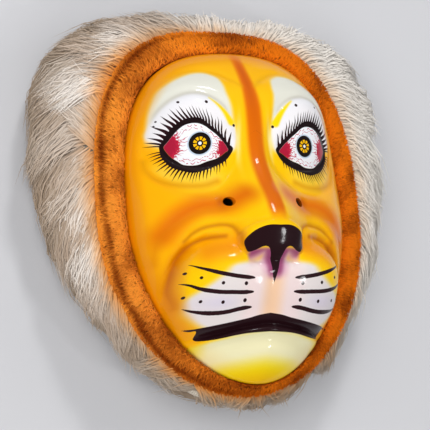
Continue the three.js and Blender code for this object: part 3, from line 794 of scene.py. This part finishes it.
# the bare inside is laid fibre, dull and blotched, with a coarse tooth to the touch
BLOTCH = 12
TOOTH = dict(every=1.5, depth=0.25)
bare, bare_shader = finish_named("bare moulded shell")
tree = bare.node_tree
spot = node(tree, "Mapping", dict(Vector=node(tree, "TexCoord", output="Object"),
                                  Scale=(1 / MM,) * 3))
blotch = node(tree, "TexNoise", dict(Vector=spot, Scale=1 / BLOTCH, Detail=3))
blotch = node(tree, "MapRange", (blotch, 0.3, 0.7))
tooth = node(tree, "TexNoise", dict(Vector=spot, Scale=1 / TOOTH["every"], Detail=2))
roughness = node(tree, "MapRange", (tooth, 0.3, 0.7, 0.68, 0.84))
colour = node(tree, "Mix", {0: blotch, 6: linear("#BDB198"), 7: linear("#DCD2BF")}, 2,
              data_type="RGBA")
toothed = node(tree, "Bump", dict(Height=tooth, Strength=1.0, Distance=TOOTH["depth"] * MM))
for value, label in ((colour, "Base Color"), (roughness, "Roughness"), (toothed, "Normal")):
    tree.links.new(value, bare_shader.inputs[label])

# paint covers what faces forwards, the outside of the skirt and the walls of the holes
mesh.materials.clear()
mesh.materials.append(enamel)
mesh.materials.append(bare)
normals = np.empty(len(mesh.polygons) * 3)
middles = np.empty(len(mesh.polygons) * 3)
mesh.polygons.foreach_get("normal", normals)
mesh.polygons.foreach_get("center", middles)
nx, ny, nz = normals.reshape(-1, 3).T
mx, my, mz = (middles.reshape(-1, 3) / MM).T
my, mz = my - SHIFT_Y, mz - RIM_PLANE
out_x, out_y = mx, my - RIM["centre"]
outward = (nx * out_x + ny * out_y) / np.hypot(out_x, out_y)
on_skirt = (outward > 0.3) & (mz < rim_height(np.abs(mx)) + 0.5)
in_hole = np.hypot(np.abs(mx) - HOLE["x"], my - HOLE["y"]) < HOLE["wide"] / 2 + 0.3
inner_skirt = (outward < -0.3) & (mz < rim_height(np.abs(mx)) - 1)
painted = ((nz > 0.05) & ~inner_skirt) | on_skirt | in_hole
mesh.polygons.foreach_set("material_index", np.where(painted, 0, 1).astype(np.int32))
mesh.polygons.foreach_set("use_smooth", np.ones(len(mesh.polygons), bool))
mesh.set_sharp_from_angle(angle=math.radians(50))
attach(face, "root")
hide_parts("face_shell")

# Short-pile band. A ring of short brown fleece glued round the rim of the face, about
# 23 mm wide, rounded over a thin pad. Its pile is brushed outwards and airbrushed darker
# in blotches; it is also darker beside the rim and along a tuck line four fifths of the way
# across. Its colour holds painted light and shade: lighter on the left and right sides,
# darker at the chin and towards the roots of the strands.
SEAM = dict(half=116.5, centre=-5, up=157, down=143, n_up=2.8, n_down=2.0)
SEAM_DEPTH = 24
FIT_GAP = 0.3
BAND = dict(below_rim=2, bulge=3, thickness=6, pile=3.2, tuck=2.2, tuck_at=0.79,
            strands=19000)
BAND_ORANGE, BAND_ORANGE_LIT_LEFT, BAND_DARK = "#F27C14", "#FF9A36", "#82360A"
TURNS = 720
SIDES = 240
angles = np.linspace(-math.pi, math.pi, TURNS + 1)
chance = np.random.default_rng(11)


def skirt_reach(z):
    """Distance from the rim's centre to the outside of the skirt at a height."""
    front = reach(RIM, angles)
    top = rim_height(np.abs(front * np.cos(angles)))
    return mix(front, reach(BACK, angles), (top - z) / (top + RIM_PLANE))


def band_profile():
    """Section of the band from the face's rim, over its rounded top, to the seam."""
    inner, outer = reach(RIM, angles), reach(SEAM, angles) - FIT_GAP / 2
    top = rim_height(np.abs(inner * np.cos(angles))) - BAND["below_rim"]
    low = np.full_like(top, -SEAM_DEPTH)
    return np.array((
        (inner + FIT_GAP, top),
        (mix(inner, outer, 0.3), mix(top, low, 0.12) + BAND["bulge"]),
        (mix(inner, outer, 0.66), mix(top, low, 0.5) + BAND["bulge"]),
        (outer, low),
    ))


def sunk(profile, depth):
    """The profile moved under the pile by its depth, square to the section."""
    run = np.gradient(profile, axis=0)
    run = run / np.hypot(run[:, 0], run[:, 1])[:, None]
    return profile + depth * np.stack((run[:, 1], -run[:, 0]), 1)


def closed_ring(name, section, material):
    """A ring whose cross-section of radius and height follows every direction."""
    rows = len(section)
    ring = bmesh.new()
    bmesh.ops.create_grid(ring, x_segments=SIDES, y_segments=rows, size=1)
    for point in ring.verts:
        i = round((point.co.x + 1) / 2 * SIDES) * (TURNS // SIDES)
        j = round((point.co.y + 1) / 2 * rows) % rows
        r, z = section[j, :, i]
        turn = angles[i]
        point.co = in_frame(r * math.cos(turn), RIM["centre"] + r * math.sin(turn), z)
    bmesh.ops.remove_doubles(ring, verts=ring.verts, dist=0.01 * MM)
    bmesh.ops.recalc_face_normals(ring, faces=ring.faces)
    for side in ring.faces:
        side.smooth = True
    return piece(name, ring, material)


def on_profile(profile, turn, s):
    """Radius and height of points at a direction and a part of the way along the profile."""
    i = (turn + math.pi) / (2 * math.pi) % 1 * TURNS
    j = np.clip(s, 0, 1) * (len(profile) - 1)
    i0, j0 = np.floor(i).astype(int), np.minimum(np.floor(j).astype(int), len(profile) - 2)
    fi, fj = (i - i0)[:, None], (j - j0)[:, None]
    i1 = (i0 + 1) % TURNS
    near = mix(profile[j0, :, i0], profile[j0, :, i1], fi)
    far = mix(profile[j0 + 1, :, i0], profile[j0 + 1, :, i1], fi)
    return mix(near, far, fj)


def surface(profile, turn, s):
    """Place and outward direction of points on the pile's surface."""
    def place(turn, s):
        r, z = on_profile(profile, turn, s).T
        return np.column_stack((r * np.cos(turn), RIM["centre"] + r * np.sin(turn), z))

    here = place(turn, s)
    step = 0.02
    along_s = place(turn, np.clip(s + step, 0, 1)) - place(turn, np.clip(s - step, 0, 1))
    along_turn = place(turn + step, s) - place(turn - step, s)
    out = np.cross(along_s, along_turn)
    return here, out / np.linalg.norm(out, axis=1)[:, None]


def strand_shape(bends):
    """One strand: a long three-sided cone cut across where it bends."""
    cone = bmesh.new()
    bmesh.ops.create_cone(cone, segments=3, cap_ends=True, radius1=1, radius2=0, depth=1)
    bmesh.ops.remove_doubles(cone, verts=cone.verts, dist=1e-5)
    for k in range(1, bends):
        bmesh.ops.bisect_plane(
            cone, geom=cone.verts[:] + cone.edges[:] + cone.faces[:], dist=1e-5,
            plane_co=(0, 0, k / bends - 0.5), plane_no=(0, 0, 1),
        )
    bmesh.ops.recalc_face_normals(cone, faces=cone.faces)
    level_of = [round((v.co.z + 0.5) * bends) for v in cone.verts]
    rim_of = [(v.co.xy.normalized() if v.co.xy.length > 1e-4 else v.co.xy) for v in cone.verts]
    faces = [[v.index for v in f.verts] for f in cone.faces]
    cone.free()
    return np.array(level_of), np.array(rim_of), faces


OFF_FLOOR = 0.3
OWN_ROUNDNESS, SKYWARD, LEAST_SKYWARD = 0.45, 0.9, 0.3


def pile(name, bends, paths, lifts, widths, tones, material):
    """Strands along their paths: paths, lifts and tones are (strand, bend, three values)."""
    level_of, rim_of, faces = strand_shape(bends)
    run = np.gradient(paths, axis=1)
    side = np.cross(run, lifts)
    side /= np.linalg.norm(side, axis=2)[:, :, None] + 1e-9
    over = np.cross(run, side)
    over /= np.linalg.norm(over, axis=2)[:, :, None] + 1e-9
    w = widths[:, level_of, None]
    points = paths[:, level_of] + w * (
        side[:, level_of] * rim_of[None, :, :1] + 0.7 * over[:, level_of] * rim_of[None, :, 1:]
    )
    points[..., 2] = np.maximum(points[..., 2], OFF_FLOOR - RIM_PLANE)
    points = (points + (0, SHIFT_Y, RIM_PLANE)) * MM
    size = len(level_of)
    starts = range(0, len(paths) * size, size)
    every = [[start + v for v in face] for start in starts for face in faces]
    mesh = bpy.data.meshes.new(name)
    mesh.from_pydata(points.reshape(-1, 3).tolist(), [], every)
    tint = mesh.attributes.new("pile colour", "FLOAT_COLOR", "POINT")
    shade = linear(np.clip(tones, 0, 1))[:, level_of]
    tint.data.foreach_set("color", shade.astype(np.float32).ravel())
    mesh.polygons.foreach_set("use_smooth", np.ones(len(mesh.polygons), bool))
    # each strand is lit mostly as the pile's surface, which blends the strands into one soft mass
    facing = side[:, level_of] * rim_of[None, :, :1] + over[:, level_of] * rim_of[None, :, 1:]
    facing = OWN_ROUNDNESS * facing + lifts[:, level_of] + (0, 0, SKYWARD)
    facing[..., 2] = np.maximum(facing[..., 2], LEAST_SKYWARD)
    mesh.normals_split_custom_set_from_vertices(facing.reshape(-1, 3).tolist())
    mesh.materials.append(material)
    made = bpy.data.objects.new(name, mesh)
    bpy.context.scene.collection.objects.link(made)
    return made


def soft_noise(turn, s, scale, seed):
    """Smooth patches in nought to one, repeating round the ring."""
    waves = np.random.default_rng(seed)
    total = np.zeros_like(turn)
    for _ in range(7):
        k, m, p = waves.integers(1, scale), waves.uniform(-6, 6), waves.uniform(0, 6.3)
        total += np.sin(k * turn + m * s + p)
    return np.clip(0.5 + total / 6, 0, 1)


def pile_finish(name, **values):
    """A fleece whose strands are coloured one by one, dye and painted light and shade together,
    with hardly any shine of its own.
    """
    fleece, shader = finish_named(name)
    set_sockets(shader, **values)
    tree = fleece.node_tree
    dye = node(tree, "Attribute", output="Color", attribute_name="pile colour")
    tree.links.new(dye, shader.inputs["Base Color"])
    return fleece


KNIT_RIB = dict(every=1.6, depth=0.3)


def knit_backing(name, dark, light):
    """Knitted backing of a fleece, matt, with the ribs of a real jersey showing as lines."""
    cloth, shader = finish_named(name)
    set_sockets(shader, Roughness=0.95)
    tree = cloth.node_tree
    spot = node(tree, "Mapping", dict(Vector=node(tree, "TexCoord", output="Object"),
                                      Scale=(1 / MM,) * 3))
    # a wave node's bands lie pi / 10 apart at a scale of one
    ribs = node(tree, "TexWave", dict(Vector=spot, Scale=math.pi / 10 / KNIT_RIB["every"],
                                      Distortion=1.5, Detail=2.0), 1, bands_direction="X")
    colour = node(tree, "Mix", {0: ribs, 6: linear(dark), 7: linear(light)}, 2,
                  data_type="RGBA")
    ribbed = node(tree, "Bump", dict(Height=ribs, Strength=1.0,
                                     Distance=KNIT_RIB["depth"] * MM))
    tree.links.new(colour, shader.inputs["Base Color"])
    tree.links.new(ribbed, shader.inputs["Normal"])
    return cloth


# short dense pile: matt, so it shows its dye, its blotches and its painted light and shade, and no
# glare
brown_fleece = pile_finish("short-pile brown fleece", Roughness=0.95, Specular_IOR_Level=0.04)

backing = knit_backing("fleece backing cloth", "#A4541A", "#C2681F")

band_top = smooth_line(band_profile(), steps=10)
part_way = np.linspace(0, 1, len(band_top))[:, None]
band_top[:, 1] -= BAND["tuck"] * bell((part_way - BAND["tuck_at"]) / 0.045)
under = sunk(band_top, BAND["pile"])
under[:, 0] = np.clip(under[:, 0], reach(RIM, angles) + FIT_GAP, reach(SEAM, angles) - FIT_GAP)
floor_z = -SEAM_DEPTH - BAND["thickness"]
under[:, 1] = np.maximum(under[:, 1], floor_z + 0.5)
ends = np.array(((under[-1, 0], np.full_like(angles, floor_z)),
                 (skirt_reach(floor_z) + FIT_GAP, np.full_like(angles, floor_z))))
band_base = closed_ring("band_pad", np.concatenate((under, ends)), backing)

# each strand starts at a direction and a part of the way across, and runs outwards
strands = BAND["strands"]
turn = chance.uniform(-math.pi, math.pi, strands)
turn = turn - 0.12 * np.sin(2 * turn)
s0 = chance.uniform(0, 1, strands)
length = chance.uniform(0.1, 0.24, strands)
sweep = chance.normal(0, 0.018, strands)
steps = np.linspace(0, 1, 3)
spots = [surface(band_top, turn + sweep * t, np.clip(s0 + length * t, 0, 0.99)) for t in steps]
# height over the pile's surface at each bend
rise = (-3.4, -0.8, 0.2)
stray = chance.normal(0, 0.5, (strands, 3, 3)) * steps[None, :, None]
paths = np.stack([p + n * h for (p, n), h in zip(spots, rise)], 1) + stray
lifts = np.stack([n for p, n in spots], 1)
paths += lifts * (chance.uniform(-0.5, 1.2, strands)[:, None, None] * steps[None, :, None])
widths = np.array((0.44, 0.46, 0))[None] * chance.uniform(0.8, 1.3, strands)[:, None]
dark = soft_noise(turn, s0 * 1.5, 26, 3) * 0.8 + soft_noise(turn, s0 * 4, 60, 4) * 0.3
# painted light and shade: lighter and less blotched on the left and right sides of the ring, darker
# at the chin
left = ease(0.2 - np.cos(turn))
at_chin = ease(-1.3 * np.sin(turn) - 0.3)
dark = (dark + chance.normal(0, 0.1, strands)) * mix(1.0, 0.75, left) - 0.3 + 0.22 * at_chin
dark = dark - 0.2 * ease(np.cos(turn) - 0.1)
on_way = s0[:, None] + length[:, None] * steps
tuck_line = 0.8 + 0.05 * np.sin(3 * turn + 1) + 0.025 * np.sin(11 * turn)
lined = 0.8 * bell((on_way - tuck_line[:, None]) / 0.05) * mix(0.2, 1.0, left)[:, None]
lined = lined + 0.4 * bell(on_way / 0.04)
dark = np.clip(dark[:, None] + lined, 0, 1)[:, :, None]
bright = mix(shades(BAND_ORANGE), shades(BAND_ORANGE_LIT_LEFT), left[:, None])
tone = mix(bright[:, None], shades(BAND_DARK), dark)
# painted shade: darker towards the roots of the strands
tone = tone * np.array((0.85, 1.0, 1.05))[None, :, None]
band_pile = pile("band_pile", 2, paths, lifts, widths, tone, brown_fleece)
for part in (band_base, band_pile):
    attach(part, "root")
    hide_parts("short_pile_band")

# Mane. A thick ring of long cream fleece sewn to the brown band along the seam and turned
# back behind it. The pile lies in locks that sweep outwards and hang towards the chin.
# Its colour holds painted light and shade: lighter on the right side, darker and browner
# low on the left and at the chin, and darker towards the roots of the strands.
MANE = dict(half=158, centre=40, up=131, down=198, n_up=3.3, n_down=1.7)
# how far behind the rim the mane is widest: at the sides, and less at the crown and chin
WIDEST = dict(side=53, crown=16, chin=26)
CORE = dict(part=0.35, z=-64)
DRAW_IN = 24
LEAST = 5
BEYOND_SEAM = 8
LOCKS = 24
PARTING = 3.5
PILE_DEPTH = 7
OVER_SEAM = 4
PROFILE_ROWS = 37
ROUNDING = 6
STRANDS = 36000
CLUMPS = 300
# creams of the pile; the lit right cream is painted light and the low brown is painted shade
CREAM_DARK, CREAM, CREAM_LIT_RIGHT = "#C7B09B", "#FBF1E7", "#FFF9F0"
CREAM_SHADED_LOW, OVERSPRAY = "#8F7962", "#E8892F"


def parting(row):
    """How far the locks part the fleece, in every second row half a lock on."""
    return PARTING * (0.5 - 0.5 * np.cos(LOCKS * (angles - math.pi / 2) + row * math.pi))


def mane_profile():
    """Section of the fleece from over the seam, round its widest line and in to the floor."""
    seam = reach(SEAM, angles) + FIT_GAP / 2
    wide = np.maximum(reach(MANE, angles), seam + BEYOND_SEAM)
    up, down = np.clip(np.sin(angles), 0, 1), np.clip(-np.sin(angles), 0, 1)
    deep = -(WIDEST["side"] - WIDEST["crown"] * up**6 - WIDEST["chin"] * down**4)
    back = np.maximum(skirt_reach(-RIM_PLANE) + FIT_GAP + LEAST, wide - DRAW_IN)
    base = np.full_like(angles, -RIM_PLANE)
    seam_z = np.full_like(angles, -SEAM_DEPTH)
    return np.array((
        (seam - OVER_SEAM, seam_z + 3),
        (mix(seam, wide, 0.1), seam_z + 4),
        (mix(seam, wide, 0.5), mix(seam_z, deep, 0.12) - parting(0)),
        (mix(seam, wide, 0.82), mix(seam_z, deep, 0.55) - parting(1)),
        (wide - parting(0), deep),
        (mix(back, wide, 0.7) - parting(1), mix(base, deep, 0.42)),
        (back, base),
    ))


def evenly(profile, rows, passes):
    """The profile in rows evenly spaced along it, with its corners rounded."""
    steps = np.diff(profile, axis=0)
    run = np.vstack((np.zeros(len(angles)), np.cumsum(np.hypot(steps[:, 0], steps[:, 1]), 0)))
    spaced = np.empty((rows, 2, len(angles)))
    for i in range(len(angles)):
        at = np.linspace(0, run[-1, i], rows)
        for k in (0, 1):
            spaced[:, k, i] = np.interp(at, run[:, i], profile[:, k, i])
    for _ in range(passes):
        spaced[1:-1] = (spaced[:-2] + 2 * spaced[1:-1] + spaced[2:]) / 4
    return spaced


# long soft pile: a pale bloom along each lock where the light grazes it
cream_fleece = pile_finish("long-pile cream fleece", Roughness=0.9, Sheen_Weight=0.3,
                           Specular_IOR_Level=0.2)
cream_backing = knit_backing("cream backing cloth", "#C6B9A5", "#E2D7C6")

mane_top = evenly(mane_profile(), PROFILE_ROWS, ROUNDING)
# the backing is the pile's surface shrunk towards a line inside the roll
inner_z = -SEAM_DEPTH - BAND["thickness"] - FIT_GAP
core = np.array((mix(skirt_reach(-RIM_PLANE), mane_top[:, 0].max(0), CORE["part"]),
                 np.full_like(angles, CORE["z"])))
reach_out = mane_top[ROUNDING:] - core
size = np.hypot(reach_out[:, 0], reach_out[:, 1])[:, None]
under = core + reach_out * np.maximum(1 - PILE_DEPTH / size, 0.3)
under[:, 1] = np.clip(under[:, 1], -RIM_PLANE, inner_z)
ends = np.array(((skirt_reach(-RIM_PLANE) + FIT_GAP, np.full_like(angles, -RIM_PLANE)),
                 (skirt_reach(inner_z) + FIT_GAP, np.full_like(angles, inner_z))))
mane_base = closed_ring("mane_backing", np.concatenate((under, ends)), cream_backing)

# strands draw together into clumps, which bend and rise as one
turn = chance.uniform(-math.pi, math.pi, STRANDS)
s0 = chance.uniform(0, 1, STRANDS) ** 1.15
length = chance.uniform(0.22, 0.44, STRANDS) * (1 - 0.4 * ease(-np.sin(turn)))
hang = -0.27 * np.cos(turn)
clump_turn, clump_s = chance.uniform(-math.pi, math.pi, CLUMPS), chance.uniform(0, 1, CLUMPS)
own = np.column_stack((np.cos(turn) * 150, np.sin(turn) * 150, s0 * 110))
heads = np.column_stack((np.cos(clump_turn) * 150, np.sin(clump_turn) * 150, clump_s * 110))
nearest = np.concatenate([
    np.argmin(((part[:, None] - heads[None]) ** 2).sum(2), 1) for part in np.array_split(own, 40)
])
pull_turn = (clump_turn[nearest] - turn + math.pi) % (2 * math.pi) - math.pi
pull_s = clump_s[nearest] - s0
clump_bend = chance.normal(0, 0.09, CLUMPS)[nearest]
clump_rise = chance.normal(0, 1.9, CLUMPS)[nearest]
stray_rise = chance.exponential(1.6, STRANDS)
steps = np.linspace(0, 1, 4)
spots = []
sprayed_part = []
for t in steps:
    pull = 0.38 * t**1.2
    a = turn + pull_turn * pull + (hang + clump_bend) * t**1.4
    a = a + chance.normal(0, 0.006, STRANDS) * t
    s = np.clip(s0 + pull_s * pull + length * t, 0, 1)
    spots.append(surface(mane_top, a, s))
    leftwards = ease(0.4 - np.cos(a) + 0.4 * ease(-np.sin(a)))
    sprayed_part.append(ease((0.22 - s) / 0.19) * (0.3 + 0.65 * leftwards))
# height over the pile's surface at each bend, before clumps and stray ends rise
rise = (-5.5, -2.5, -1.2, -2.2)
lift = clump_rise[:, None] * steps[None] + stray_rise[:, None] * steps[None] ** 2
paths = np.stack([p + n * h for (p, n), h in zip(spots, rise)], 1)
lifts = np.stack([n for p, n in spots], 1)
paths += lifts * lift[:, :, None]
paths += chance.normal(0, 1.7, paths.shape) * steps[None, :, None]
widths = np.array((0.6, 0.65, 0.42, 0))[None] * chance.uniform(0.75, 1.35, STRANDS)[:, None]
light = soft_noise(turn, s0, 24, 7) * 0.75 + chance.normal(0.1, 0.13, STRANDS)
light = np.clip(light + chance.normal(0, 0.13, CLUMPS)[nearest], 0, 1)[:, None]
tone = mix(shades(CREAM_DARK), shades(CREAM), light)
# painted light: lighter towards the right side
tone = mix(tone, shades(CREAM_LIT_RIGHT), 0.85 * ease(np.cos(turn - 0.4) + 0.1)[:, None])
# painted shade: darker and browner low on the left and at the chin
shaded_low_left = 0.7 * ease((s0 - 0.05) / 0.4) * ease(0.3 - np.cos(turn + 0.5))
at_chin = 0.6 * ease(-1.3 * np.sin(turn) - 0.3)
tone = mix(tone, shades(CREAM_SHADED_LOW), np.maximum(shaded_low_left, at_chin)[:, None])
# painted shade: darker towards the roots of the strands
tone = tone[:, None] * np.array((0.9, 0.97, 1.0, 1.02))[None, :, None]
patch = 0.6 + 0.4 * soft_noise(turn, s0, 12, 9)
orange = (np.array(sprayed_part).T * patch[:, None])[:, :, None]
tone = mix(tone, shades(OVERSPRAY), orange)
THIRDS = ("lower_left", "lower_right_and_side", "upper")
sector = np.floor((turn + math.pi) / (2 * math.pi) * len(THIRDS)).astype(int)
for k, where in enumerate(THIRDS):
    mine = sector == k
    part = pile("mane_pile_" + where, 3, paths[mine], lifts[mine], widths[mine], tone[mine],
                cream_fleece)
    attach(part, "root")
    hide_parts("fleece_mane")
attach(mane_base, "root")
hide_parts("fleece_mane")
